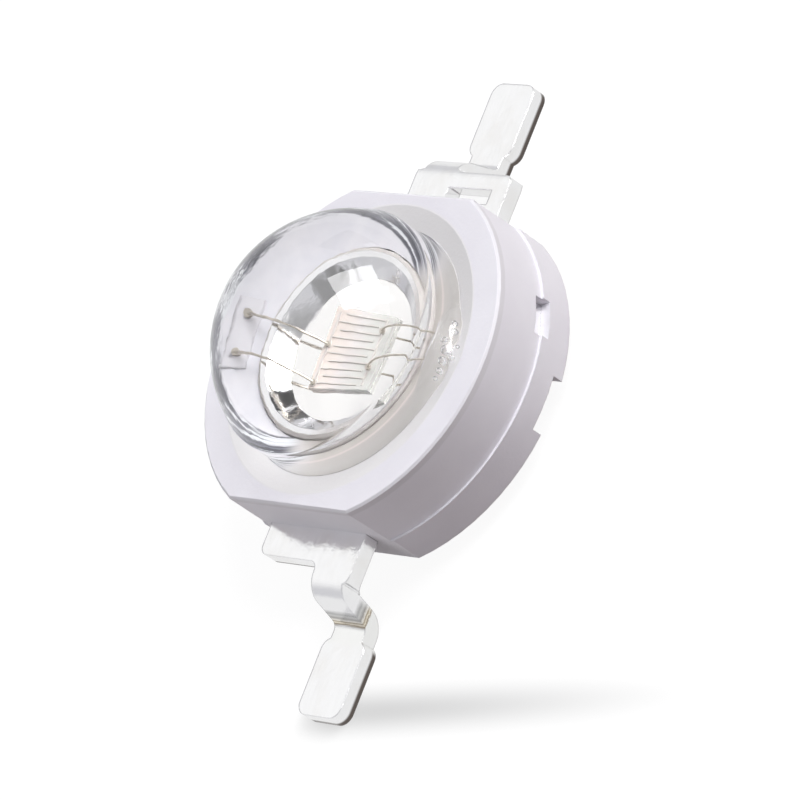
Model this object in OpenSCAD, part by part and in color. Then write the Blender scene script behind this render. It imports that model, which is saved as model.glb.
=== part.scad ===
// Round surface-mount power emitter that radiates ultraviolet light.
// The origin is on the solder plane, under the centre of the lens.
// +Z points out of the lens and +X runs along the slotted anode lead.
// All sizes are in millimetres.

/* [Body] */
// Gap between the solder plane and the underside of the body
stand_off = 0.46; // [0.36:0.02:0.6]
// Diameter of the moulding at its top
body_d = 8.0; // [6.6:0.1:9.8]
// Height of the moulding
body_h = 2.2; // [1.9:0.05:2.8]
// Depth of the flat where each lead comes out
flat_cut = 0.425; // [0.2:0.025:0.5]
// Draft angle of the round sides, above and below the parting line
draft = 1; // [0.5:0.5:3]
// Step at the parting line, where the lower half is the wider one
parting_step = 0.06; // [0.02:0.01:0.15]
// Chamfer round the top edge
edge_chamfer = 0.05; // [0.02:0.01:0.1]
// Width of the shallow dish outside the lens
dish_w = 0.5; // [0.3:0.05:0.7]
// Depth of the dish, down to the seat of the lens
dish_depth = 0.16; // [0.08:0.01:0.24]
// Width of the notch in each side of the bottom rim
notch_w = 1.2; // [0.6:0.1:2]
// Height of that notch
notch_h = 0.27; // [0.1:0.01:0.4]
// Depth of that notch from the side of the body
notch_depth = 0.48; // [0.2:0.02:0.6]
// Width of the side window over a sheared tie bar
window_w = 0.85; // [0.5:0.05:1.2]
// Depth of that window, down to the sheared face
window_depth = 0.18; // [0.1:0.02:0.3]
// Angle round the body from a rim notch to a window
window_angle = 24; // [15:1:35]

/* [Leads] */
// Tip to tip length over both leads
overall_length = 14.5; // [13.5:0.1:18]
// Thickness of the leadframe sheet
lead_t = 0.38; // [0.3:0.02:0.46]
// Height of the underside of the tabs over the solder plane
lead_rise = 1.12; // [1:0.02:1.3]
// Width of the tab that comes out of the body
tab_w = 2.9; // [2.6:0.1:3.4]
// Length of the slotted anode tab outside the body
anode_tab_l = 1.08; // [0.9:0.02:1.3]
// Length of the plain cathode tab outside the body
cathode_tab_l = 0.73; // [0.5:0.02:1.1]
// Sideways offset of the cathode tab from the middle of the body
cathode_shift = 0.12; // [0:0.01:0.2]
// Width of the neck that bends down to the solder plane
neck_w = 0.94; // [0.7:0.02:1.1]
// Run from the body to the upper bend of the neck
neck_run = 0.92; // [0.8:0.01:1.1]
// Inside radius of both bends
bend_r = 0.18; // [0.1:0.01:0.24]
// Angle of each bend
bend_angle = 75; // [60:1:85]
// Width of the foot that is soldered to the board
foot_w = 1.28; // [1.14:0.02:1.5]
// Length of the foot
foot_l = 1.75; // [1.4:0.05:1.8]
// Corner radius of the foot
foot_r = 0.28; // [0.1:0.02:0.4]
// Corner radius of both shoulders of each tab
shoulder_r = 0.2; // [0.1:0.02:0.3]
// Fillet between the free shoulder and the neck
neck_fillet = 0.2; // [0.1:0.02:0.24]
// Length of the slot across the anode tab
slot_l = 1.3; // [0.8:0.1:1.8]
// Width of that slot
slot_w = 0.33; // [0.2:0.01:0.4]
// Distance from the body to the slot
slot_gap = 0.38; // [0.2:0.02:0.5]
// Sideways shift of the slot from the middle of the tab
slot_shift = 0.34; // [0:0.02:0.6]
// Width of the arm that curls round the slug inside the body
arm_w = 0.8; // [0.5:0.05:0.9]
// Insulating gap between the slug and each arm
arm_gap = 0.17; // [0.1:0.01:0.25]
// Length of the bond pad on top of each post
pad_l = 0.9; // [0.6:0.05:1.1]
// Width of that bond pad
pad_w = 0.32; // [0.2:0.02:0.4]
// Distance of the anode's bond pad from the middle of the body, towards the anode
anode_pad_x = 0.05; // [-0.2:0.01:0.3]
// Distance of the cathode's bond pad from the middle of the body, towards the anode
cathode_pad_x = 0.25; // [-0.2:0.01:0.3]
// Height of the bond pad over the lens seat
pad_rise = 0.03; // [0.01:0.01:0.1]
// Least clearance between a bond post and the wall of the lens
pad_clear = 0.05; // [0.02:0.01:0.1]

/* [Heat slug] */
// Diameter of the flange that is soldered to the board
flange_d = 5.6; // [4.6:0.1:5.7]
// Height of the flange
flange_h = 0.8; // [0.7:0.02:0.96]
// Chamfer round the bottom of the flange
flange_chamfer = 0.08; // [0.02:0.01:0.15]
// Diameter of the post that carries the reflector cup
post_d = 3.14; // [3:0.02:3.3]
// Height of the rim of the cup over the lens seat
rim_rise = 0.1; // [0.06:0.01:0.2]
// Diameter of the mouth of the reflector cup
cup_mouth_d = 2.84; // [2.5:0.02:2.94]
// Diameter of the floor of the reflector cup
cup_floor_d = 2.14; // [2:0.02:2.3]
// Depth of the reflector cup
cup_depth = 0.25; // [0.2:0.01:0.36]
// Chamfer round the outside of the rim
rim_chamfer = 0.05; // [0.01:0.01:0.07]

/* [Chip] */
// Side of the square chip
chip_side = 1.25; // [1:0.05:1.35]
// Thickness of the chip
chip_t = 0.11; // [0.09:0.01:0.14]
// Thickness of the attach film under the chip
attach_t = 0.02; // [0.01:0.01:0.04]
// Width of the film that shows round the chip
attach_lip = 0.035; // [0.01:0.005:0.06]
// Thickness of the metal film of both electrodes
metal_t = 0.015; // [0.01:0.005:0.03]
// Width of an electrode finger
finger_w = 0.02; // [0.01:0.005:0.04]
// Number of fingers on each electrode
finger_count = 5; // [3:1:6]
// Width of the bus line that joins the fingers
bus_w = 0.04; // [0.02:0.01:0.08]
// Clear edge between the chip's side and the metal
chip_edge = 0.07; // [0.04:0.01:0.1]
// Diameter of a bond pad on the chip
chip_pad_d = 0.12; // [0.1:0.01:0.14]
// Distance between the two bond pads of one electrode
chip_pad_pitch = 0.61; // [0.4:0.01:0.65]

/* [Bond wires] */
// Diameter of the wire
wire_d = 0.035; // [0.025:0.005:0.05]
// Diameter of the bonded ball
ball_d = 0.09; // [0.07:0.01:0.11]
// Height of the bonded ball
ball_h = 0.03; // [0.02:0.005:0.04]
// Height of the loop over its straight chord
wire_loop = 0.26; // [0.22:0.01:0.4]
// Distance between the two wires where they land on a post
wire_pitch = 0.5; // [0.3:0.02:0.56]
// Length of the flattened stitch at the end of the wire
stitch_l = 0.1; // [0.06:0.01:0.14]

/* [Lens] */
// Outside diameter of the lens
lens_d = 5.6; // [5:0.1:6]
// Height of the lens over its seat
lens_h = 3.0; // [2.6:0.1:3.6]
// Height of its straight skirt
skirt_h = 0.98; // [0.8:0.02:1.2]
// Radius that blends the skirt into the dome
blend_r = 0.8; // [0.4:0.05:1]
// Wall thickness of the lens at the flared mouth of its hollow
lens_wall = 0.45; // [0.3:0.05:0.6]
// Wall thickness where the flare ends and the round of the hollow starts
neck_wall = 0.84; // [0.7:0.02:0.95]
// Height of the flare
flare_h = 0.5; // [0.4:0.05:0.6]
// Wall thickness at the crown
crown_wall = 0.3; // [0.2:0.05:0.5]
// Diameter of the filling port and of the vent through the skirt
port_d = 0.6; // [0.4:0.02:0.62]
// Height of the middle of both over the seat, low enough to leave them open below
port_rise = 0.18; // [0.1:0.02:0.18]
// Angle from the side of the body to the filling port
port_angle = 2; // [0:1:15]

/* [Encapsulant] */
// Tube radius of the bead that spilled round the filling port
bead_r = 0.34; // [0.26:0.02:0.4]
// Angle that the bead covers round the skirt
bead_sweep = 30; // [16:1:40]
// Radius of the drop where the bead is thickest
drop_r = 0.5; // [0.36:0.02:0.56]
// Radius of the small drop at the vent
vent_drop_r = 0.36; // [0.3:0.02:0.42]

/* [Hidden] */
$fn = 96;

// Clearance at round faces that were moulded or filled against each other
fit = 0.02;
// Overshoot of cuts past the faces that they open
eps = 0.1;
// Steps along each arc of the bent lead
arc_steps = 12;

face_z = stand_off + body_h;
seat_z = face_z - dish_depth;
tab_top_z = lead_rise + lead_t;
parting_z = lead_rise + lead_t / 2;
flat_x = body_d / 2 - flat_cut;
bend_x = flat_x + neck_run;
tip_x = overall_length / 2;
// The foot and the neck share one centre line, and the foot is flush with the tab
foot_y = (tab_w - foot_w) / 2;
// Radius of the upper half and of the lower half at the parting line
side_r = body_d / 2 + (face_z - parting_z) * tan(draft);
base_r = side_r + parting_step;

outer_bend_r = bend_r + lead_t;
// Length of the sloped web between the two bends
web_l = (lead_rise - (outer_bend_r + bend_r) * (1 - cos(bend_angle))) / sin(bend_angle);
// Ground length of both bends and the web
bend_span = (outer_bend_r + bend_r) * sin(bend_angle) + web_l * cos(bend_angle);

arm_in_r = post_d / 2 + arm_gap;
arm_out_r = arm_in_r + arm_w;
// The arm ends past the window, where its tie bar was sheared
arm_end_angle = 90 + window_angle;
pad_top_z = seat_z + pad_rise;

rim_z = seat_z + rim_rise;
cup_floor_z = rim_z - cup_depth;
chip_z = cup_floor_z + attach_t;
metal_z = chip_z + chip_t;
ball_z = metal_z + metal_t;
// The chip carries its p metal near +Y and its n metal nearer the middle
p_bus_y = chip_side / 2 - chip_edge - bus_w / 2;
n_bus_y = -chip_side / 2 + chip_edge + 3 * chip_pad_d / 4;
finger_pitch = (chip_side - 2 * chip_edge - finger_w) / (2 * finger_count - 1);
finger_start_x = -chip_side / 2 + chip_edge + finger_w / 2;
p_pad_x = finger_start_x;
n_pad_x = p_pad_x + chip_pad_pitch / 2;

lens_r = lens_d / 2;
dish_r = lens_r + dish_w;
mouth_r = lens_r - lens_wall;
neck_r = lens_r - neck_wall;
// Radius of the hollow at the height of the bond pads, less their clearance
pad_room_r = mouth_r - (mouth_r - neck_r) * pad_rise / flare_h - pad_clear;
// A bond post is as wide as the wall of the lens leaves room for
pad_reach_x = max(abs(anode_pad_x), abs(cathode_pad_x)) + pad_l / 2;
post_w = min(pad_w, sqrt(pad_room_r * pad_room_r - pad_reach_x * pad_reach_x) - arm_in_r);
pad_y = arm_in_r + post_w / 2;
crown_z = seat_z + lens_h;
port_z = seat_z + port_rise;
port_turn = -90 + port_angle;
bead_path_r = lens_r + bead_r * 0.7;

// Points of an arc about c, from angle a0 to angle a1
function arc(c, r, a0, a1) = [
    for (i = [0 : arc_steps])
        let (a = a0 + (a1 - a0) * i / arc_steps)
        c + r * [cos(a), sin(a)]
];

// Sector of a flat ring between two radii, from angle a0 to angle a1
module ring_sector(r_in, r_out, a0, a1) {
    reach = 4 * r_out;
    mid = (a0 + a1) / 2;
    intersection() {
        difference() {
            circle(r = r_out);
            circle(r = r_in);
        }
        polygon([
            [0, 0],
            [reach * cos(a0), reach * sin(a0)],
            [reach * cos(mid), reach * sin(mid)],
            [reach * cos(a1), reach * sin(a1)]
        ]);
    }
}

// Square with one corner at the origin and its far +Y corner rounded
module one_round_corner(l, w, r) {
    square([l - r, w]);
    square([l, w - r]);
    translate([l - r, w - r]) circle(r = r);
}

// Rectangle from the origin with all of its corners rounded
module round_rectangle(l, w, r) {
    translate([r, 0]) square([l - 2 * r, w]);
    translate([0, r]) square([l, w - 2 * r]);
    for (x = [r, l - r])
        for (y = [r, w - r])
            translate([x, y]) circle(r = r);
}

// Fillet that fills an inner corner at the origin, open towards +X and -Y
module inner_fillet(r) {
    polygon(concat([[-eps, eps / 2], [r, eps / 2]], arc([r, -r], r, 90, 180), [[-eps, -r]]));
}

// Hollow of the dish and the flat seat of the lens, open at the top
module dish_room() {
    seat_r = lens_r + 2 * fit;
    rotate_extrude() polygon([
        [0, seat_z],
        [seat_r, seat_z],
        [dish_r + (dish_r - seat_r) * eps / dish_depth, face_z + eps],
        [0, face_z + eps]
    ]);
}

// The moulding before its pockets: a drafted round with a dish, between two flats
module body_blank() {
    slope = tan(draft);
    difference() {
        intersection() {
            rotate_extrude() polygon([
                [0, stand_off],
                [base_r - (parting_z - stand_off) * slope, stand_off],
                [base_r, parting_z],
                [side_r, parting_z],
                [body_d / 2 + edge_chamfer * slope, face_z - edge_chamfer],
                [body_d / 2 - edge_chamfer, face_z],
                [0, face_z]
            ]);
            rotate([90, 0, 0]) linear_extrude(height = 3 * body_d, center = true) polygon([
                [-flat_x, stand_off - eps],
                [flat_x, stand_off - eps],
                [flat_x, face_z - edge_chamfer],
                [flat_x - edge_chamfer - eps, face_z + eps],
                [-flat_x + edge_chamfer + eps, face_z + eps],
                [-flat_x, face_z - edge_chamfer]
            ]);
        }
        dish_room();
    }
}

// Room of the moulding and of the lens, with a little clearance
module body_and_lens_room() {
    rotate_extrude() polygon([
        [0, 0],
        [body_d, 0],
        [body_d, face_z + fit],
        [dish_r, face_z + fit],
        [lens_r + 2 * fit, seat_z + fit],
        [lens_r + fit, seat_z + fit],
        [lens_r + fit, crown_z],
        [0, crown_z]
    ]);
}

// Side outline of a lead: tab, upper bend, web, lower bend and foot
module lead_side() {
    root_x = -arm_out_r - eps;
    bend_c = [bend_x, lead_rise - bend_r];
    foot_c = [bend_c[0] + bend_span, outer_bend_r];
    polygon(concat(
        [[root_x, tab_top_z]],
        arc(bend_c, outer_bend_r, 90, 90 - bend_angle),
        arc(foot_c, bend_r, 270 - bend_angle, 270),
        [[tip_x, lead_t], [tip_x, 0]],
        arc(foot_c, outer_bend_r, 270, 270 - bend_angle),
        arc(bend_c, bend_r, 90 - bend_angle, 90),
        [[root_x, lead_rise]]
    ));
}

// Plan of a lead inside the body, grown sideways by g
module lead_root_plan(shift, g) {
    root_x = arm_in_r;
    difference() {
        union() {
            translate([root_x - g, shift - tab_w / 2 - g])
                square([flat_x - root_x + 2 * g, tab_w + 2 * g]);
            ring_sector(arm_in_r - g, arm_out_r + g, -25, arm_end_angle);
        }
        circle(r = arm_in_r - g);
    }
    rotate(arm_end_angle) tie_bar_plan(g);
}

// Plan of the tie bar, from the arm out to its sheared end in the window
module tie_bar_plan(g) {
    bar_l = side_r - window_depth - arm_in_r - 0.2;
    translate([arm_in_r + 0.2, -window_w / 2 - g]) square([bar_l, window_w + 2 * g]);
}

// Plan of a lead outside the body: tab, neck and foot
module lead_outer_plan(tab_l) {
    start_x = flat_x - eps;
    neck_y = foot_y - neck_w / 2;
    ear_l = neck_run + shoulder_r + eps;
    translate([start_x, tab_w / 2]) mirror([0, 1]) one_round_corner(tab_l + eps, tab_w, shoulder_r);
    translate([start_x, foot_y]) one_round_corner(ear_l, foot_w / 2, shoulder_r);
    translate([start_x, neck_y]) square([tip_x - foot_l / 2 - start_x, neck_w]);
    translate([flat_x + tab_l, neck_y]) inner_fillet(neck_fillet);
    translate([tip_x - foot_l, foot_y - foot_w / 2]) round_rectangle(foot_l, foot_w, foot_r);
}

// Slot across the tab, nearer to its free shoulder
module tab_slot() {
    translate([flat_x + slot_gap, -slot_shift - slot_l / 2]) square([slot_w, slot_l]);
}

// Post that stands up from the arm to the bond pad inside the lens
module bond_post(pad_x, g) {
    translate([pad_x - pad_l / 2 - g, arm_in_r - g, lead_rise])
        cube([pad_l + 2 * g, post_w + 2 * g, pad_top_z - lead_rise]);
}

// One lead that points along +X, with a slot in its tab where asked
module lead(tab_l, shift, pad_x, slotted) {
    intersection() {
        rotate([90, 0, 0]) linear_extrude(height = 4 * arm_out_r, center = true) lead_side();
        linear_extrude(height = tab_top_z) {
            lead_root_plan(shift, 0);
            difference() {
                translate([0, shift]) lead_outer_plan(tab_l);
                if (slotted) tab_slot();
            }
        }
    }
    bond_post(pad_x, 0);
}

// Room that one lead takes in the moulding
module lead_room(shift, pad_x) {
    translate([0, 0, lead_rise]) linear_extrude(height = lead_t) {
        lead_root_plan(shift, fit);
        translate([flat_x - fit, shift - tab_w / 2 - fit])
            square([parting_step + eps, tab_w + 2 * fit]);
    }
    bond_post(pad_x, fit);
    translate([0, 0, lead_rise]) linear_extrude(height = lead_t)
        rotate(arm_end_angle) translate([side_r - window_depth, -window_w / 2 - fit])
            square([window_depth + parting_step + eps, window_w + 2 * fit]);
}

module housing() {
    color("whitesmoke")
    difference() {
        body_blank();
        translate([0, 0, stand_off - eps]) cylinder(h = body_h + 2 * eps, r = post_d / 2 + fit);
        translate([0, 0, stand_off - eps])
            cylinder(h = flange_h - stand_off + eps, r = flange_d / 2 + fit);
        lead_room(0, anode_pad_x);
        rotate(180) lead_room(-cathode_shift, -cathode_pad_x);
        for (side = [0, 180])
            rotate(side)
                translate([-notch_w / 2, side_r - notch_depth, stand_off - eps])
                    cube([notch_w, notch_depth + parting_step + eps, notch_h + eps]);
    }
}

module heat_slug() {
    color("silver")
    difference() {
        union() {
            cylinder(h = flange_chamfer, r1 = flange_d / 2 - flange_chamfer, r2 = flange_d / 2);
            translate([0, 0, flange_chamfer]) cylinder(h = flange_h - flange_chamfer, r = flange_d / 2);
            cylinder(h = rim_z - rim_chamfer, r = post_d / 2);
            translate([0, 0, rim_z - rim_chamfer])
                cylinder(h = rim_chamfer, r1 = post_d / 2, r2 = post_d / 2 - rim_chamfer);
        }
        translate([0, 0, cup_floor_z]) cylinder(h = cup_depth, r1 = cup_floor_d / 2, r2 = cup_mouth_d / 2);
        translate([0, 0, rim_z]) cylinder(h = eps, r = cup_mouth_d / 2);
    }
}

module anode_lead() {
    color("lightgray") lead(anode_tab_l, 0, anode_pad_x, true);
}

module cathode_lead() {
    color("lightgray") rotate(180) lead(cathode_tab_l, -cathode_shift, -cathode_pad_x, false);
}

// Half section of the outside of the lens, over its seat
module lens_section() {
    blend_x = lens_r - blend_r;
    dome_r = (blend_x * blend_x + pow(lens_h - skirt_h, 2) - blend_r * blend_r)
        / (2 * (lens_h - skirt_h - blend_r));
    dome_z = lens_h - dome_r;
    joint = atan2(skirt_h - dome_z, blend_x);
    reach = 2 * dome_r;
    square([lens_r, skirt_h]);
    translate([blend_x, skirt_h]) intersection() {
        circle(r = blend_r);
        square(blend_r);
    }
    intersection() {
        translate([0, dome_z]) circle(r = dome_r);
        polygon([
            [0, 0],
            [blend_x, 0],
            [blend_x, skirt_h],
            [reach * cos(joint), dome_z + reach * sin(joint)],
            [0, dome_z + reach]
        ]);
    }
}

// Half section of the hollow of the lens, shrunk by g: a flare below a round
module hollow_section(g) {
    top = lens_h - crown_wall - g;
    rise = top - flare_h;
    round_r = (pow(neck_r - g, 2) + rise * rise) / (2 * rise);
    flare_run = (mouth_r - neck_r) * eps / flare_h;
    polygon([
        [0, 0],
        [mouth_r - g, 0],
        [neck_r - g - flare_run, flare_h + eps],
        [0, flare_h + eps]
    ]);
    intersection() {
        translate([0, top - round_r]) circle(r = round_r);
        translate([0, flare_h - eps]) square([2 * round_r, top]);
    }
}

// Round channel through the skirt, for the filling port or the vent
module port_bore(g, r_from, r_to) {
    translate([r_from, 0, port_z]) rotate([0, 90, 0]) cylinder(h = r_to - r_from, d = port_d - 2 * g);
}

module lens() {
    color([0.85, 0.88, 0.92, 0.4])
    difference() {
        translate([0, 0, seat_z]) rotate_extrude() lens_section();
        translate([0, 0, seat_z]) rotate_extrude() hollow_section(0);
        for (side = [0, 180])
            rotate(port_turn + side) port_bore(0, neck_r - eps, lens_r + eps);
    }
}

// Silicone that spilled out of the filling port along the skirt
module filling_bead() {
    translate([0, 0, face_z]) {
        rotate(-bead_sweep / 2)
            rotate_extrude(angle = bead_sweep) translate([bead_path_r, 0]) circle(r = bead_r);
        for (side = [-1, 1])
            rotate(side * bead_sweep / 2) translate([bead_path_r, 0, 0]) sphere(r = bead_r + fit);
        translate([bead_path_r, 0, 0]) sphere(r = drop_r);
    }
}

// Silicone in one channel, flat where it rests on the seat
module channel_fill() {
    intersection() {
        port_bore(fit, neck_r - eps, lens_r + 4 * fit);
        translate([0, -port_d, seat_z + fit]) cube([body_d, 2 * port_d, port_d]);
    }
}

// Silicone outside the lens: the bead at the port and the drop at the vent
module spill() {
    difference() {
        union() {
            rotate(port_turn) filling_bead();
            rotate(port_turn + 180) translate([lens_r, 0, port_z]) sphere(r = vent_drop_r);
        }
        body_and_lens_room();
    }
}

// Gel in the reflector cup, from its floor to just past its mouth
module cup_fill() {
    translate([0, 0, cup_floor_z])
        cylinder(h = cup_depth, r1 = cup_floor_d / 2 - fit, r2 = cup_mouth_d / 2 - fit);
    translate([0, 0, rim_z]) cylinder(h = eps, r = cup_mouth_d / 2 - fit);
}

// Ring of gel space that the rim of the reflector cup takes up
module rim_room() {
    difference() {
        translate([0, 0, seat_z - eps]) cylinder(h = rim_rise + eps, r = post_d / 2 + fit);
        cup_fill();
    }
}

module encapsulant() {
    color([0.9, 0.88, 0.8, 0.4])
    difference() {
        union() {
            difference() {
                union() {
                    translate([0, 0, seat_z]) rotate_extrude() hollow_section(fit);
                    cup_fill();
                }
                rim_room();
            }
            rotate(port_turn) channel_fill();
            rotate(port_turn + 180) channel_fill();
            spill();
        }
        bond_post(anode_pad_x, 0);
        rotate(180) bond_post(-cathode_pad_x, 0);
        die_attach();
        chip();
        p_electrode();
        n_electrode();
        bond_wire_1(fit);
        bond_wire_2(fit);
        bond_wire_3(fit);
        bond_wire_4(fit);
    }
}

module die_attach() {
    attach_side = chip_side + 2 * attach_lip;
    color("gray")
        translate([-attach_side / 2, -attach_side / 2, cup_floor_z])
            cube([attach_side, attach_side, attach_t]);
}

module chip() {
    color("thistle")
        translate([-chip_side / 2, -chip_side / 2, chip_z]) cube([chip_side, chip_side, chip_t]);
}

// Comb of fingers along Y from a bus line, with two round bond pads on it
module electrode(bus_y, end_y, first, pad_x) {
    bus_l = chip_side - 2 * chip_edge;
    translate([0, 0, metal_z]) linear_extrude(height = metal_t) {
        translate([-bus_l / 2, bus_y - bus_w / 2]) square([bus_l, bus_w]);
        for (i = [0 : finger_count - 1])
            translate([finger_start_x + (2 * i + first) * finger_pitch - finger_w / 2, min(bus_y, end_y)])
                square([finger_w, abs(end_y - bus_y)]);
        for (k = [0, 1])
            translate([pad_x + k * chip_pad_pitch, bus_y]) circle(d = chip_pad_d);
    }
}

module p_electrode() {
    color("gold") electrode(p_bus_y, n_bus_y + chip_pad_d, 0, p_pad_x);
}

module n_electrode() {
    color("gold") electrode(n_bus_y, p_bus_y - chip_pad_d, 1, n_pad_x);
}

// Wire that stands on a ball at a, arches over and lands on the pad at b
module bond_wire(a, b, g) {
    run = norm([b[0] - a[0], b[1] - a[1]]);
    start_z = ball_z + ball_h - wire_d / 2;
    drop = start_z - pad_top_z - wire_d / 2;
    chord = norm([run, drop]);
    loop_r = (chord * chord / 4 + wire_loop * wire_loop) / (2 * wire_loop);
    half = asin(chord / 2 / loop_r);
    tilt = atan2(drop, run);
    head = atan2(b[1] - a[1], b[0] - a[0]);
    translate([a[0], a[1], ball_z]) cylinder(h = ball_h, d = ball_d + 2 * g);
    translate([a[0], a[1], start_z])
        rotate([0, tilt, head])
            translate([chord / 2, 0, wire_loop - loop_r])
                rotate([90, half - 90, 0])
                    rotate_extrude(angle = 2 * half)
                        translate([loop_r, 0]) circle(d = wire_d + 2 * g);
    translate([b[0], b[1], pad_top_z]) cylinder(h = wire_d, d = stitch_l + 2 * g);
}

module bond_wire_1(g = 0) {
    color("goldenrod") bond_wire(
        [p_pad_x + chip_pad_pitch, p_bus_y],
        [anode_pad_x + wire_pitch / 2, pad_y],
        g
    );
}

module bond_wire_2(g = 0) {
    color("goldenrod") bond_wire(
        [p_pad_x, p_bus_y],
        [anode_pad_x - wire_pitch / 2, pad_y],
        g
    );
}

module bond_wire_3(g = 0) {
    color("goldenrod") bond_wire(
        [n_pad_x, n_bus_y],
        [cathode_pad_x - wire_pitch / 2, -pad_y],
        g
    );
}

module bond_wire_4(g = 0) {
    color("goldenrod") bond_wire(
        [n_pad_x + chip_pad_pitch, n_bus_y],
        [cathode_pad_x + wire_pitch / 2, -pad_y],
        g
    );
}

housing();
heat_slug();
anode_lead();
cathode_lead();
lens();
encapsulant();
die_attach();
chip();
p_electrode();
n_electrode();
bond_wire_1();
bond_wire_2();
bond_wire_3();
bond_wire_4();
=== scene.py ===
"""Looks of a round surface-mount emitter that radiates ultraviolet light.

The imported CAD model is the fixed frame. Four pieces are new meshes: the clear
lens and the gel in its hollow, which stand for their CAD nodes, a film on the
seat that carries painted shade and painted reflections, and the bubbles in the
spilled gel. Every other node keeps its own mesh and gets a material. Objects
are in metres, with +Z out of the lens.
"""
import math
from functools import cached_property

import bpy
import numpy as np
from mathutils import Matrix, Vector


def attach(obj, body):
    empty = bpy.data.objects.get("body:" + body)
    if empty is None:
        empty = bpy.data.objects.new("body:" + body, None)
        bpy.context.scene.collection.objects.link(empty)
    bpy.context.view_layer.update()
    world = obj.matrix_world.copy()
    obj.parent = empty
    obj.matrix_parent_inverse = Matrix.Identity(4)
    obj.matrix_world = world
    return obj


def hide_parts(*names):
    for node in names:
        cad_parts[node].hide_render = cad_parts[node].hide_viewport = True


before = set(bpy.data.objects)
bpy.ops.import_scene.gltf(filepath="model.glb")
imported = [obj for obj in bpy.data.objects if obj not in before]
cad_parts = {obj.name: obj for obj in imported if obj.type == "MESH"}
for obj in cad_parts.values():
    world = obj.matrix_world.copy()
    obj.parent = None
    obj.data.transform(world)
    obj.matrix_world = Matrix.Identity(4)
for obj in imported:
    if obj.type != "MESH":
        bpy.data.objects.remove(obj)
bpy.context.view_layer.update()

MM = 0.001

# Sizes in millimetres. The drawn lens has a slightly sharper edge than its solid.
SEAT_Z = 2.50           # the ring that the lens stands on
FACE_Z = 2.66           # top of the moulding
LENS_R = 2.80           # outside of the lens skirt
DISH_R = 3.30           # outside of the dish that slopes down to the lens
SKIRT_H = 0.95          # straight part of the skirt, over the seat
BLEND_R = 0.30          # radius of the edge between skirt and dome
LENS_H = 2.98           # top of the dome, over the seat
HOLLOW_R = 2.20         # the hollow of the lens that the gel fills
HOLLOW_SKIRT_H = 0.40   # its straight wall, over the seat
HOLLOW_H = 2.68         # its top, over the seat
SUNK_Z = 2.405          # the lens ends here, inside the moulding
GEL_SUNK_Z = SUNK_Z + 0.005    # and the gel in its hollow a hair higher
POST_R = 1.57           # post of the slug, which the seat surrounds
RIM_IN_R = 1.42         # flat rim of the reflector cup, from here
RIM_OUT_R = 1.51        # to here
TAB_Z = 1.12            # underside of the wide tabs of the leads
BEND_IN_X = 4.80        # the leads bend down to their feet between this
BEND_OUT_X = 5.60       # and this distance from the middle
FLOOR_HALF = 1500.0     # half the width of the floor
PORT_ANGLE = -88.0      # degrees from +X to the filling port

# Refractive indices, each against what lies round it
LENS_INDEX = 1.50
GEL_IN_LENS = 0.947
AIR_IN_GEL = 0.667


# ---------------------------------------------------------------- meshes

def ring_faces(rows, cols, start):
    """Quads between neighbouring rings of a closed grid, as an index array.

    Vertex (i, j) has index start + i * cols + j, and j wraps round.
    """
    i, j = np.meshgrid(np.arange(rows - 1), np.arange(cols), indexing="ij")
    a = start + i * cols + j
    b = start + i * cols + (j + 1) % cols
    return np.stack([a, b, b + cols, a + cols], axis=-1).reshape(-1, 4)


def pole_faces(pole, ring_start, cols, flip):
    """Triangles that close one end of a grid of rings on a single vertex."""
    j = np.arange(cols)
    a = ring_start + j
    b = ring_start + (j + 1) % cols
    tip = np.full(cols, pole)
    return np.stack([tip, b, a] if flip else [tip, a, b], axis=-1)


def capped_faces(rows, cols):
    """Quads and triangles of rings between a foot vertex 0 and a last crown vertex.

    Each ring runs counter-clockwise seen from above and the rings rise from
    the foot, so the faces point outwards.
    """
    crown = 1 + rows * cols
    caps = [pole_faces(0, 1, cols, True), pole_faces(crown, crown - cols, cols, False)]
    return ring_faces(rows, cols, 1), np.concatenate(caps)


def placed_mesh(name, verts, faces, material, smooth=True):
    """A new object at the origin, from vertices in metres."""
    mesh = bpy.data.meshes.new(name)
    mesh.from_pydata(verts, [], faces)
    if smooth:
        mesh.polygons.foreach_set("use_smooth", np.ones(len(mesh.polygons), bool))
    mesh.materials.append(material)
    mesh.update()
    obj = bpy.data.objects.new(name, mesh)
    bpy.context.scene.collection.objects.link(obj)
    return obj


def closed_surface(name, rings, foot, crown, material):
    """A closed mesh from rings (rows, cols, 3) with a pole below and one above."""
    verts = np.concatenate([[foot], rings.reshape(-1, 3), [crown]])
    quads, caps = capped_faces(*rings.shape[:2])
    return placed_mesh(name, verts * MM, quads.tolist() + caps.tolist(), material)


def closed_washer(name, rings, material):
    """A closed flat-sided ring (rows, cols, 3), whose last ring joins the first."""
    rows, cols, _ = rings.shape
    seam = ring_faces(2, cols, (rows - 1) * cols) % (rows * cols)
    faces = ring_faces(rows, cols, 0).tolist() + seam.tolist()
    return placed_mesh(name, rings.reshape(-1, 3) * MM, faces, material, smooth=False)


def turned(rz, angle):
    """Points (r, z) carried round +Z: x = r cos(angle), y = r sin(angle), angle in degrees."""
    a = np.radians(angle)
    return np.stack([rz[..., 0] * np.cos(a), rz[..., 0] * np.sin(a), rz[..., 1]], -1)


def full_turn(profile, cols):
    """Rings of one (r, z) profile at equal steps round +Z."""
    rz = np.repeat(profile[:, None, :], cols, axis=1)
    return turned(rz, np.linspace(0, 360, cols, endpoint=False))


def arc_points(centre, radius, start, end, count):
    """Points of an arc in the (r, z) half plane, from one angle to another."""
    a = np.radians(np.linspace(start, end, count))
    return np.stack([centre[0] + radius * np.cos(a), centre[1] + radius * np.sin(a)], -1)


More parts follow.
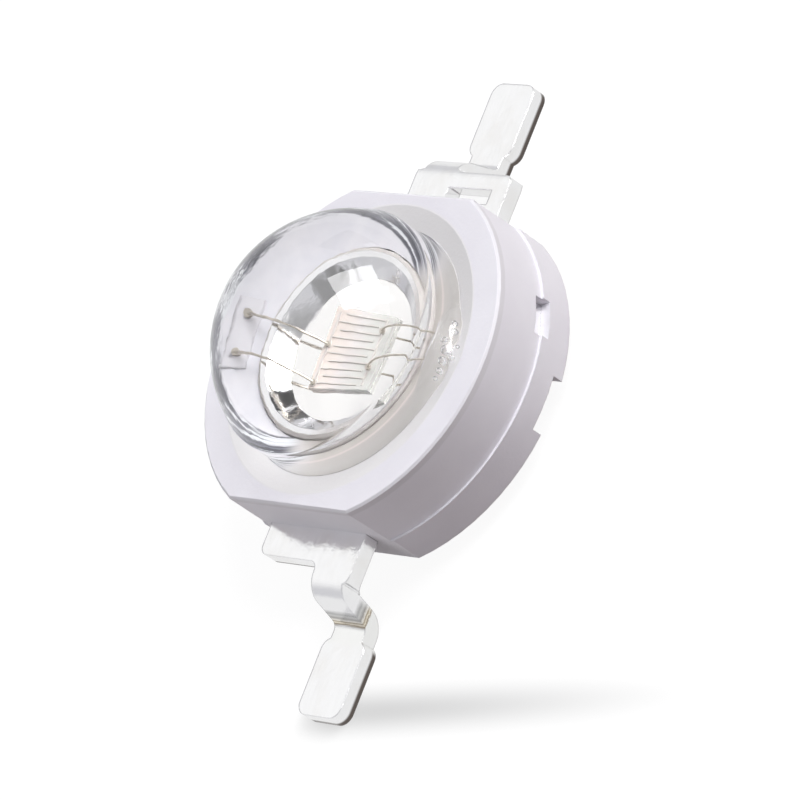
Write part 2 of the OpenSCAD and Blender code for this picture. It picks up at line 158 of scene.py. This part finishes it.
def dome_profile():
    """Outside of the lens over its skirt, in the (r, z) half plane.

    A quarter-like arc of BLEND_R leaves the skirt and meets a sphere tangent
    to it whose top is at LENS_H over the seat.
    """
    inner = LENS_R - BLEND_R
    rise = LENS_H - SKIRT_H
    dome_r = (inner ** 2 + rise ** 2 - BLEND_R ** 2) / (2 * (rise - BLEND_R))
    centre_z = LENS_H - dome_r
    joint = math.degrees(math.atan2(SKIRT_H - centre_z, inner))
    blend = arc_points((inner, SKIRT_H), BLEND_R, 0, joint, 20)
    dome = arc_points((0, centre_z), dome_r, joint, 90, 56)[1:-1]
    line = np.concatenate([blend, dome])
    line[:, 1] += SEAT_Z
    return line


def dish_height(r):
    """Height of the moulding's top at radius r: seat, sloping dish, flat face."""
    foot_r = LENS_R + 0.04
    slope = (r - foot_r) / (DISH_R - foot_r)
    return SEAT_Z + (FACE_Z - SEAT_Z) * np.clip(slope, 0, 1)


def lobe(angle, centre, width):
    """A bell over the angle, 1 at centre and about 0.6 one width away."""
    gap = (angle - centre + 180) % 360 - 180
    return np.exp(-0.5 * (gap / width) ** 2)


def spilled_gel(angle):
    """Reach, height and fullness of the gel round the foot of the skirt.

    Each is a sum of bells over the angle: a thin hollow meniscus all round,
    a run of full lumps at the filling port and a small one at the vent.
    """
    port = PORT_ANGLE
    vent = port + 180
    reach = (0.07 + 0.46 * lobe(angle, port - 1, 5.5) + 0.24 * lobe(angle, port - 13, 6)
             + 0.28 * lobe(angle, port + 11, 5) + 0.12 * lobe(angle, port + 24, 7)
             + 0.22 * lobe(angle, vent, 6))
    height = (0.2 + 0.34 * lobe(angle, port - 2, 7) + 0.2 * lobe(angle, port - 15, 6)
              + 0.24 * lobe(angle, port + 12, 6) + 0.16 * lobe(angle, vent, 7))
    full = np.clip(1.15 * lobe(angle, port, 17) + 0.9 * lobe(angle, vent, 8), 0, 0.92)
    return reach, height, full


def lens_rings(cols=360):
    """Rings of the lens: a flat foot inside the moulding, the gel, skirt and dome.

    The gel is a quadratic Bezier in the (r, z) half plane from the dish up to
    the skirt, with its middle point in the corner where it is a hollow
    meniscus and out over the dish where it is a full lump.
    """
    angle = np.linspace(0, 360, cols, endpoint=False)
    reach, height, full = spilled_gel(angle)
    out_r = LENS_R + reach
    start = np.stack([out_r, dish_height(out_r) - 0.01], -1)
    end = np.stack([np.full(cols, LENS_R), SEAT_Z + height], -1)
    corner = np.stack([np.full(cols, LENS_R), dish_height(out_r)], -1)
    bulge = np.stack([out_r + 0.02, SEAT_Z + height + 0.02], -1)
    middle = corner + (bulge - corner) * full[:, None]
    t = np.linspace(0, 1, 22)[:, None, None]
    gel = (1 - t) ** 2 * start + 2 * t * (1 - t) * middle + t ** 2 * end
    foot_r = np.linspace(0.1, 1, 8)[:, None] * out_r
    foot = np.stack([foot_r, np.full_like(foot_r, SUNK_Z)], -1)
    s = np.linspace(0, 1, 12)[1:, None]
    skirt_z = (SEAT_Z + height) * (1 - s) + (SEAT_Z + SKIRT_H) * s
    skirt = np.stack([np.full_like(skirt_z, LENS_R), skirt_z], -1)
    top = np.repeat(dome_profile()[1:, None, :], cols, axis=1)
    return turned(np.concatenate([foot, gel, skirt, top]), angle)


def hollow_rings(cols=240):
    """Rings of the gel in the hollow of the lens: a straight wall under half an ellipse.

    The ellipse has half axes HOLLOW_R and HOLLOW_H - HOLLOW_SKIRT_H, so the
    wall runs into it without an edge.
    """
    floor = np.stack([np.linspace(0.1, 1, 6) * HOLLOW_R, np.full(6, GEL_SUNK_Z)], -1)
    wall_z = np.concatenate([[SUNK_Z + 0.03], SEAT_Z + np.linspace(0, HOLLOW_SKIRT_H, 8)])
    wall = np.stack([np.full_like(wall_z, HOLLOW_R), wall_z], -1)
    t = np.linspace(0, math.pi / 2, 74)[1:-1]
    dome = np.stack([HOLLOW_R * np.cos(t), SEAT_Z + HOLLOW_SKIRT_H
                     + (HOLLOW_H - HOLLOW_SKIRT_H) * np.sin(t)], -1)
    return full_turn(np.concatenate([floor, wall, dome]), cols)


def film_rings(cols=180):
    """Rings of the film on the seat: a rectangle in the (r, z) half plane, carried round."""
    low, high = SEAT_Z + 0.002, SEAT_Z + 0.012
    inner, outer = POST_R + 0.015, LENS_R + 0.025
    corners = [(inner, low), (2.2, low), (outer, low),
               (outer, high), (2.5, high), (2.2, high), (1.9, high), (inner, high)]
    return full_turn(np.array(corners), cols)


def bubble_mesh(name, bubbles, material, rows=10, cols=20):
    """Closed spheres in one mesh, from (bearing, r, z, radius) in degrees and millimetres.

    Each is a unit sphere by latitude and longitude, times its radius, plus its centre.
    """
    bearing, r, z, size = np.array(bubbles).T
    centres = turned(np.stack([r, z], -1), bearing)
    t = np.radians(np.linspace(-90, 90, rows + 2))[1:-1]
    rings = full_turn(np.stack([np.cos(t), np.sin(t)], -1), cols)
    ball = np.concatenate([[(0, 0, -1)], rings.reshape(-1, 3), [(0, 0, 1)]])
    verts = centres[:, None, :] + size[:, None, None] * ball
    first = (np.arange(len(centres)) * len(ball))[:, None, None]
    faces = []
    for part in capped_faces(rows, cols):
        faces += (first + part).reshape(-1, part.shape[1]).tolist()
    return placed_mesh(name, verts.reshape(-1, 3) * MM, faces, material)


# ------------------------------------------------------------- materials

class Graph:
    """A node graph under construction: its methods add nodes and return one output."""

    def __init__(self, tree):
        self.nodes, self.links = tree.nodes, tree.links

    def give(self, socket, value):
        """Link an output to the socket, or set it to a number, list or colour tuple."""
        if isinstance(value, bpy.types.NodeSocket):
            self.links.new(value, socket)
        elif isinstance(value, tuple):
            socket.default_value = (*value, 1)
        else:
            socket.default_value = value

    def add(self, kind, inputs, output=0, **settings):
        """A node of a kind, with its settings and then its inputs."""
        node = self.nodes.new("ShaderNode" + kind)
        for key, value in settings.items():
            setattr(node, key, value)
        for key, value in inputs.items():
            self.give(node.inputs[key], value)
        return node.outputs[output]

    def calc(self, operation, *values):
        """One step of arithmetic on one, two or more values."""
        return self.add("Math", dict(enumerate(values)), operation=operation)

    def parts(self, vector):
        """The x, y and z of a vector."""
        node = self.nodes.new("ShaderNodeSeparateXYZ")
        self.give(node.inputs[0], vector)
        return list(node.outputs)

    def times(self, first, *others):
        """The product of two or more values."""
        for other in others:
            first = self.calc("MULTIPLY", first, other)
        return first

    def step_up(self, value, low, high):
        """0 below low and 1 above high, smooth between; low may be the larger one."""
        return self.add("MapRange", {"Value": value, "From Min": low, "From Max": high},
                        "Result", interpolation_type="SMOOTHSTEP")

    def blended(self, factor, first, second):
        """A colour between two colours, which the node takes at sockets 6 and 7."""
        return self.add("Mix", {"Factor": factor, 6: first, 7: second}, 2, data_type="RGBA")

    def mixed(self, factor, first, second):
        """A mix of two shaders."""
        return self.add("MixShader", {0: factor, 1: first, 2: second})

    def ramp(self, source, stops):
        """A colour ramp over source; stops are (position, colour) pairs."""
        node = self.nodes.new("ShaderNodeValToRGB")
        while len(node.color_ramp.elements) < len(stops):
            node.color_ramp.elements.new(0.5)
        for element, (position, colour) in zip(node.color_ramp.elements, stops):
            element.position = position
            element.color = (*colour, 1)
        self.give(node.inputs["Fac"], source)
        return node.outputs["Color"]

    def noise_at(self, vector, detail, rough=0.5):
        """A noise texture with one cycle per unit of the vector."""
        return self.add("TexNoise", {"Vector": vector, "Scale": 1.0, "Detail": detail,
                                     "Roughness": rough}, "Fac")

    def noise(self, scale, detail=3.0, rough=0.5, stretch=(1, 1, 1)):
        """A noise texture over Object coordinates; scale is in cycles per millimetre."""
        coord = self.add("TexCoord", {}, "Object")
        place = self.add("Mapping", {"Vector": coord, "Scale": [v * scale / MM for v in stretch]})
        return self.noise_at(place, detail, rough)

    def bump(self, height, depth, soften=0.0):
        """A bump of the given depth in millimetres, over edges softened by a radius."""
        inputs = {"Distance": depth * MM, "Height": height}
        if soften:
            inputs["Normal"] = self.add("Bevel", {"Radius": soften * MM}, "Normal", samples=6)
        return self.add("Bump", inputs, "Normal")

    def ray(self, kind):
        """What the light path says of the present ray."""
        return self.add("LightPath", {}, kind)

    def plain_sight(self):
        """1 for what the camera sees directly, mirrored or through glass, else 0.

        A ray that has left a matt surface doesn't count, so white surroundings
        show in metal and glass without adding light to the object.
        """
        seen = self.ray("Is Camera Ray")
        for kind in ("Is Glossy Ray", "Is Transmission Ray"):
            seen = self.calc("MAXIMUM", seen, self.ray(kind))
        return self.times(seen, self.calc("LESS_THAN", self.ray("Diffuse Depth"), 0.5))


class Place:
    """The shading point in millimetres, with the lens axis as its z axis."""

    def __init__(self, graph):
        self.graph = graph
        coord = graph.add("TexCoord", {}, "Object")
        self.x, self.y, self.z = (graph.calc("DIVIDE", part, MM) for part in graph.parts(coord))

    @cached_property
    def r(self):
        """Its distance from the lens axis."""
        return self.graph.calc("SQRT", self.graph.calc("ADD", self.graph.times(self.x, self.x),
                                                       self.graph.times(self.y, self.y)))

    def bearing(self, degrees):
        """Cosine of the angle between the point, seen from the axis, and a direction."""
        a = math.radians(degrees)
        along = self.graph.calc("ADD", self.graph.times(self.x, math.cos(a)),
                                self.graph.times(self.y, math.sin(a)))
        return self.graph.calc("DIVIDE", along, self.graph.calc("MAXIMUM", self.r, 0.01))


class Finish(Graph):
    """A new material and its node graph."""

    def __init__(self, name):
        self.material = bpy.data.materials.new(name)
        self.material.use_nodes = True
        super().__init__(self.material.node_tree)
        self.shader = self.nodes["Principled BSDF"]

    def shade(self, values):
        """The material, with inputs of its main shader given by name."""
        for key, value in values.items():
            self.give(self.shader.inputs[key], value)
        return self.material

    def show(self, surface):
        """The material, with another shader as its surface."""
        self.give(self.nodes["Material Output"].inputs["Surface"], surface)
        return self.material


def grey(level):
    """A colour whose three channels are the same."""
    return (level, level, level)


def moulded_plastic():
    """Pale lavender-white plastic: faint cloudy tint, fine grain, softened edges.

    The dish is a neutral white, and the chamfer round the face is painted a little darker, a
    painted shade that tones down the lamp's highlight on it.
    """
    fin = Finish("moulded_plastic")
    at = Place(fin)
    tint = fin.ramp(fin.noise(0.45, 4, 0.55),
                    [(0.3, (0.80, 0.785, 0.84)), (0.7, (0.86, 0.85, 0.90))])
    high = fin.step_up(at.z, SEAT_Z - 0.05, SEAT_Z)
    dish = fin.times(high, fin.step_up(at.r, DISH_R + 0.06, DISH_R - 0.02))
    tint = fin.blended(dish, tint, (0.82, 0.81, 0.82))
    # Painted shade: the chamfer round the face is darkened against the lamp's highlight on it.
    chamfer = fin.times(high, fin.step_up(at.z, FACE_Z - 0.005, FACE_Z - 0.015),
                        fin.step_up(at.r, DISH_R + 0.2, DISH_R + 0.3))
    grain = fin.noise(14, 4, 0.6)
    return fin.shade({
        "Base Color": fin.blended(chamfer, tint, (0.76, 0.75, 0.79)),
        "Roughness": fin.ramp(grain, [(0.3, grey(0.42)), (0.7, grey(0.56))]),
        "Normal": fin.bump(grain, 0.004, 0.02),
        "Specular IOR Level": 0.4})


def seat_shade_film():
    """Film on the seat, a sheet of painted shade: neutral grey far from the port,
    tan with a pinkish line near it.

    Outside an off-centre ring, where the foot of the lens lies on it, the
    film is streaked with dark and light grey along the ring, as painted
    reflections of dark surroundings seen through the foot of the lens.
    """
    fin = Finish("seat_shade_film")
    at = Place(fin)
    far = at.bearing(68)
    ring_r, ring_shift = 1.59, 0.58
    across_scale, round_scale = 14.0, 2.5
    # Painted shade: tan on the side towards the port, where the seat under the lens lies in shade.
    tan = fin.ramp(fin.calc("SUBTRACT", at.r, 1.5),
                   [(0.05, (0.48, 0.45, 0.42)), (0.34, (0.56, 0.53, 0.50)),
                    (0.41, (0.74, 0.67, 0.65)), (0.50, (0.58, 0.55, 0.53)),
                    (1.0, (0.61, 0.59, 0.57))])
    cloud = fin.ramp(fin.noise(1.5, 4, 0.6),
                     [(0.35, (0.70, 0.70, 0.75)), (0.65, (0.79, 0.78, 0.82))])
    seat = fin.blended(fin.step_up(far, 0.15, -0.45), cloud, tan)
    # Painted reflection: dark and light grey streaks along an off-centre ring, for dark
    # surroundings seen through the lens foot.
    over = fin.calc("SUBTRACT", fin.calc("SUBTRACT", at.r, ring_r), fin.times(far, ring_shift))
    along_ring = fin.add("CombineXYZ", {0: fin.times(over, across_scale),
                                        1: fin.times(at.bearing(-22), round_scale)})
    painted_reflection_streaks = fin.ramp(fin.noise_at(along_ring, 4.0),
                       [(0.42, (0.05, 0.05, 0.07)), (0.52, (0.20, 0.20, 0.24)),
                        (0.58, (0.78, 0.80, 0.83))])
    under = fin.times(fin.step_up(over, -0.01, 0.03), fin.step_up(far, -0.22, 0.02))
    return fin.shade({"Base Color": fin.blended(under, seat, painted_reflection_streaks), "Roughness": 0.45})


def plated_lead():
    """Bright silver plating: fine drawn scratches along the lead and soft dents.

    The lower edges carry a painted shade, the bends of the cathode lead have
    bands that follow the height, partly rubbed through to the copper alloy and
    partly painted highlight lines and dark reflections, and the bond pads inside
    the lens have a pale matt coat.
    """
    fin = Finish("plated_lead")
    at = Place(fin)
    tint = fin.ramp(fin.noise(1.3, 4, 0.6),
                    [(0.25, (0.90, 0.89, 0.88)), (0.55, (0.95, 0.95, 0.955)),
                     (0.8, (0.97, 0.97, 0.98))])
    # Painted shade: the lower edges of the feet and of the cathode tab are dark, for the contact
    # shadow along them.
    tab_edge_shade = fin.times(fin.step_up(at.z, TAB_Z + 0.08, TAB_Z + 0.03),
                         fin.step_up(at.z, TAB_Z - 0.22, TAB_Z - 0.02),
                         fin.step_up(at.x, -3.5, -3.6), fin.step_up(at.y, -0.35, -0.25))
    foot_edge_shade = fin.step_up(at.z, 0.15, 0.08)
    edge_shade = fin.calc("MAXIMUM", foot_edge_shade, tab_edge_shade)
    tint = fin.blended(edge_shade, tint, (0.13, 0.11, 0.10))
    out = fin.calc("ABSOLUTE", at.x)
    # Bands over the cathode bends: partly copper alloy where the plating is rubbed through, partly
    # painted highlight lines and dark reflections.
    bend = fin.times(fin.step_up(out, BEND_IN_X - 0.1, BEND_IN_X + 0.1),
                     fin.step_up(out, BEND_OUT_X + 0.1, BEND_OUT_X - 0.05),
                     fin.step_up(at.x, 5.0, -5.0))
    ragged = fin.calc("ADD", at.z, fin.times(fin.noise(4, 4, 0.7, (3, 0.3, 3)), 0.10))
    wear_and_glint_bands = fin.ramp(fin.calc("SUBTRACT", ragged, 0.05),
                    [(0.41, (0.93, 0.93, 0.92)), (0.45, (0.34, 0.28, 0.20)),
                     (0.48, (0.86, 0.80, 0.68)), (0.52, (0.38, 0.32, 0.23)),
                     (0.56, (0.85, 0.82, 0.76)), (0.62, (0.36, 0.35, 0.34)),
                     (0.70, (0.62, 0.62, 0.61)), (0.76, (0.46, 0.46, 0.46)),
                     (0.88, (0.93, 0.93, 0.94))])
    tint = fin.blended(bend, tint, wear_and_glint_bands)
    pad = fin.step_up(at.z, SEAT_Z - 0.3, SEAT_Z - 0.2)
    drawn = fin.noise(7, 4, 0.6, (0.25, 1.6, 1))
    rough = fin.ramp(drawn, [(0.3, grey(0.10)), (0.75, grey(0.24))])
    return fin.shade({
        "Base Color": fin.blended(pad, tint, (0.70, 0.69, 0.73)),
        "Metallic": fin.calc("SUBTRACT", 1.0, pad),
        "Roughness": fin.blended(pad, rough, grey(0.6)),
        "Normal": fin.bump(fin.noise(2.4, 4, 0.55), 0.010, 0.06)})


def polished_slug():
    """Polished silver of the slug and its cup, with fine pits.

    The rim is a little darker and warmer on one side, and the post is tan and matt.
    """
    fin = Finish("polished_slug")
    at = Place(fin)
    tint = fin.ramp(fin.noise(2.2, 4, 0.6), [(0.3, (0.88, 0.88, 0.90)), (0.7, (0.94, 0.94, 0.95))])
    # The rim is darker on one side.
    one_side_darker = fin.times(fin.step_up(at.r, RIM_IN_R - 0.02, RIM_IN_R + 0.01),
                        fin.step_up(at.bearing(-108), 0.1, 0.6))
    tint = fin.blended(one_side_darker, tint, (0.74, 0.71, 0.70))
    post = fin.step_up(at.r, RIM_OUT_R - 0.005, RIM_OUT_R + 0.01)
    rough = fin.ramp(fin.noise(9, 4, 0.6), [(0.35, grey(0.05)), (0.8, grey(0.14))])
    return fin.shade({
        "Base Color": fin.blended(post, tint, (0.60, 0.57, 0.55)),
        "Metallic": fin.calc("SUBTRACT", 1.0, post),
        "Roughness": fin.blended(post, rough, grey(0.6)),
        "Normal": fin.bump(fin.noise(3.2, 4, 0.55), 0.006, 0.02)})


def clear_glass(name, index, colour, lamps_through, ripple=None):
    """Clear glass-like plastic; shadow rays pass straight through it, tinted.

    ripple is the scale and the depth of faint waves on it, if it has any.
    """
    fin = Finish(name)
    fin.shade({"Base Color": colour, "Transmission Weight": 1.0, "Roughness": 0.0, "IOR": index})
    if ripple:
        scale, depth = ripple
        fin.shade({"Normal": fin.bump(fin.noise(scale, 3, 0.5), depth)})
    thin = fin.add("BsdfTransparent", {"Color": lamps_through})
    return fin.show(fin.mixed(fin.ray("Is Shadow Ray"), fin.shader.outputs[0], thin))


def polished_crystal():
    """Pearly chip: beige and pinkish towards +Y, greenish grey towards -Y."""
    fin = Finish("polished_crystal")
    across = fin.calc("ADD", Place(fin).y, fin.times(fin.noise(1.4, 3, 0.5), 0.5))
    tint = fin.ramp(fin.step_up(across, 0.95, -0.35),
                    [(0.1, (0.80, 0.72, 0.67)), (0.45, (0.74, 0.70, 0.69)),
                     (0.8, (0.68, 0.68, 0.65))])
    return fin.shade({"Base Color": tint, "Roughness": 0.35, "Coat Weight": 0.15})


def attach_film():
    """Silver-filled film under the chip."""
    fin = Finish("attach_film")
    tint = fin.ramp(fin.noise(20, 4), [(0.3, grey(0.5)), (0.7, grey(0.68))])
    return fin.shade({"Base Color": tint, "Roughness": 0.5})


def gold(name, dark, light, rough, shine):
    """Gold of a slightly uneven tone: drawn wire, or a film too thin to shine."""
    fin = Finish(name)
    tint = fin.ramp(fin.noise(8, 3), [(0.3, dark), (0.7, light)])
    return fin.shade({"Base Color": tint, "Roughness": rough, "Metallic": shine})


# ------------------------------------------------------------ new pieces

lens_plastic = clear_glass("lens_plastic", LENS_INDEX, (0.99, 0.99, 1.0), grey(0.96), (0.9, 0.01))
lens = closed_surface("clear_lens", lens_rings(), (0, 0, SUNK_Z), (0, 0, SEAT_Z + LENS_H),
                      lens_plastic)
gel_silicone = clear_glass("filled_gel", GEL_IN_LENS, (1.0, 0.995, 0.985), grey(0.99), (1.4, 0.02))
gel = closed_surface("filled_gel", hollow_rings(), (0, 0, GEL_SUNK_Z),
                     (0, 0, SEAT_Z + HOLLOW_H), gel_silicone)
for piece, node, slot in ((lens, "lens", "lens_clear"), (gel, "encapsulant", "gel_clear")):
    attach(piece, "root")
    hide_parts(node)

# The seat film is a sheet that carries painted shade and painted reflections under the lens.
film = closed_washer("seat_shade_film", film_rings(), seat_shade_film())
bubbles = bubble_mesh("gel_bubbles", [
    (-88, 3.02, 2.79, 0.10), (-84.5, 2.94, 2.84, 0.07), (-92, 2.99, 2.76, 0.08),
    (-80, 3.01, 2.75, 0.075), (-76.5, 2.95, 2.72, 0.05), (-96, 3.00, 2.75, 0.07),
    (-90, 3.12, 2.72, 0.055), (-86, 3.14, 2.70, 0.04), (-99, 2.93, 2.71, 0.045)],
    clear_glass("gel_bubbles", AIR_IN_GEL, grey(1.0), grey(0.97)))
for piece, slot in ((film, "gel_clear"), (bubbles, "gel_clear")):
    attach(piece, "root")

# ------------------------------------------------- materials of the nodes

lead_plating = plated_lead()
gold_film = gold("gold_film", (0.66, 0.62, 0.59), (0.74, 0.71, 0.68), 0.5, 0.0)
gold_wire = gold("gold_wire", (0.50, 0.46, 0.40), (0.68, 0.63, 0.56), 0.3, 1.0)
finishes = {
    "housing": moulded_plastic(),
    "heat_slug": polished_slug(),
    "anode_lead": lead_plating,
    "cathode_lead": lead_plating,
    "die_attach": attach_film(),
    "chip": polished_crystal(),
    "p_electrode": gold_film,
    "n_electrode": gold_film,
    "bond_wire_1": gold_wire,
    "bond_wire_2": gold_wire,
    "bond_wire_3": gold_wire,
    "bond_wire_4": gold_wire,
}
for node, finish in finishes.items():
    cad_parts[node].data.materials[0] = finish


# ------------------------------------------------------- floor and light

def white_floor():
    """Pale floor: for the camera mostly a plain white that still takes soft shadows.

    A long faint painted shadow lies beside the cathode foot. It is a bell across a
    line that runs nearly along -Y, and fades out along it. Metal mirrors the
    floor a little darker, and matt surfaces get a weak warm light from it.
    """
    fin = Finish("white_floor")
    fin.nodes.remove(fin.shader)
    at = Place(fin)
    white_level, mirrored_level, lit_share = 1.07, 0.86, 0.13
    line_x, line_lean = -7.13, 0.159
    shade_depth, shade_narrowness = 0.42, 4.5
    # Painted shadow: a long soft shade painted on the floor beside the cathode foot.
    off_line = fin.calc("ADD", fin.calc("ADD", at.x, -line_x), fin.times(at.y, line_lean))
    across = fin.calc("EXPONENT", fin.times(-shade_narrowness, fin.times(off_line, off_line)))
    along = fin.times(fin.step_up(at.y, 0.6, -0.9), fin.step_up(at.y, -12.5, -1.5))
    shade = fin.times(across, along, shade_depth)
    glow = fin.add("Emission", {"Strength": fin.calc("SUBTRACT", white_level, shade)})
    lit = fin.add("BsdfDiffuse", {"Color": grey(0.95)})
    dim = fin.add("BsdfDiffuse", {"Color": (0.29, 0.24, 0.235)})
    mirrored = fin.add("Emission", {"Strength": mirrored_level})
    in_metal = fin.calc("GREATER_THAN", fin.ray("Glossy Depth"), 0.5)
    shown = fin.mixed(in_metal, fin.mixed(lit_share, glow, lit), mirrored)
    return fin.show(fin.mixed(fin.plain_sight(), dim, shown))


def staged_plane(name, half_x, half_y, material):
    """A flat rectangle of the scenery, in metres, which isn't part of the object."""
    corners = [(-half_x, -half_y, 0), (half_x, -half_y, 0), (half_x, half_y, 0),
               (-half_x, half_y, 0)]
    obj = placed_mesh(name, corners, [(0, 1, 2, 3)], material, smooth=False)
    return obj


def set_round(obj, azimuth, elevation, distance):
    """Put a card or lamp at a distance from the part, by angles in degrees, facing it."""
    a, e = math.radians(azimuth), math.radians(elevation)
    out = Vector((math.cos(e) * math.cos(a), math.cos(e) * math.sin(a), math.sin(e)))
    obj.location = out * distance
    obj.rotation_euler = out.to_track_quat("Z", "Y").to_euler()


def card_finish(name, level, half_wide, half_high, fade):
    """Card of one level of white that fades out at its edges and lights no matt surface.

    The fade is a smooth step from the card's edge inwards, over the given
    share of its half width and half height, in the card's own coordinates.
    """
    fin = Finish(name)
    fin.nodes.remove(fin.shader)
    coord = fin.add("TexCoord", {}, "Object")
    shown = fin.plain_sight()
    for part, half in zip(fin.parts(coord), (half_wide, half_high)):
        off_middle = fin.calc("ABSOLUTE", part)
        shown = fin.times(shown, fin.step_up(off_middle, half, half * (1 - fade)))
    glow = fin.add("Emission", {"Strength": level})
    return fin.show(fin.mixed(shown, fin.add("BsdfTransparent", {}), glow))


def studio_card(name, azimuth, elevation, wide, high, level, distance, fade):
    """A card that only metal and glass show, placed and sized by angles in degrees."""
    half_x = distance * math.tan(math.radians(wide / 2))
    half_y = distance * math.tan(math.radians(high / 2))
    card = staged_plane(name, half_x, half_y, card_finish(name, level, half_x, half_y, fade))
    set_round(card, azimuth, elevation, distance)
    card.visible_camera = False
    card.visible_diffuse = False
    card.visible_shadow = False


def soft_lamp(name, azimuth, elevation, distance, size, power):
    """A square area lamp that faces the object, placed by angles in degrees."""
    lamp = bpy.data.lights.new(name, "AREA")
    lamp.shape = "SQUARE"
    lamp.size = size
    lamp.energy = power
    obj = bpy.data.objects.new(name, lamp)
    set_round(obj, azimuth, elevation, distance)
    bpy.context.scene.collection.objects.link(obj)
    return obj


staged_plane("floor", FLOOR_HALF * MM, FLOOR_HALF * MM, white_floor())

# White cards where the polished cup mirrors white, and dark ones where it mirrors a gap
studio_card("card_key", -54, 41, 74, 38, 1.25, 1.0, 0.06)
studio_card("card_back", 70, 48, 110, 60, 1.0, 1.1, 0.7)
studio_card("card_gap_low", 2, 22, 46, 24, 0.04, 0.9, 0.10)
studio_card("card_spot", 3, 15, 5, 7, 1.1, 0.8, 0.3)
studio_card("card_gap_side", 16, 17, 10, 16, 0.12, 0.9, 0.3)
studio_card("card_stripe_a", 178, 42, 10, 20, 0.10, 0.9, 0.5)
studio_card("card_stripe_b", 166, 36, 6, 16, 0.30, 0.9, 0.5)
studio_card("card_stripe_c", -170, 42, 14, 26, 0.28, 0.95, 0.6)
studio_card("card_top_grey", -128, 62, 84, 26, 0.40, 0.95, 0.6)
studio_card("card_mid_grey", -155, 49, 20, 18, 0.30, 0.9, 0.5)

# The room: white for the camera, duller for metal and glass, dim for matt surfaces
world = bpy.data.worlds.new("soft_room")
bpy.context.scene.world = world
world.use_nodes = True
room = Graph(world.node_tree)
room.nodes.remove(room.nodes["Background"])
room_levels = ((grey(1.0), 1.0), ((0.97, 0.97, 1.0), 0.68), ((0.98, 0.96, 1.0), 0.33))
white, duller, dim = (room.add("Background", {"Color": colour, "Strength": strength})
                      for colour, strength in room_levels)
in_sight = room.mixed(room.ray("Is Camera Ray"), duller, white)
room.give(room.nodes["World Output"].inputs["Surface"],
          room.mixed(room.plain_sight(), dim, in_sight))

soft_lamp("key_lamp", -35, 44, 0.6, 0.35, 3.5)
low_lamp = soft_lamp("low_lamp", 148, 18, 0.6, 0.4, 0.75)
low_lamp.visible_glossy = False
low_lamp.visible_transmission = False

# ----------------------------------------------------------------- camera

camera_data = bpy.data.cameras.new("camera")
camera_data.sensor_width = 36.0
camera_data.lens = 310.12
camera_data.clip_start = 0.001
camera_data.clip_end = 20.0
camera = bpy.data.objects.new("camera", camera_data)
bpy.context.scene.collection.objects.link(camera)
bpy.context.scene.camera = camera
place = np.eye(4)
place[:3, 0] = (0.35921, -0.67921, -0.64003)       # right in the picture
place[:3, 1] = (0.90133, 0.07466, 0.42664)         # up in the picture
place[:3, 2] = (-0.24200, -0.73013, 0.63901)       # back towards the camera
place[:3, 3] = (-0.034977, -0.104564, 0.092351)    # where it stands
camera.matrix_world = Matrix(place.tolist())

bpy.context.scene.view_settings.view_transform = "Standard"
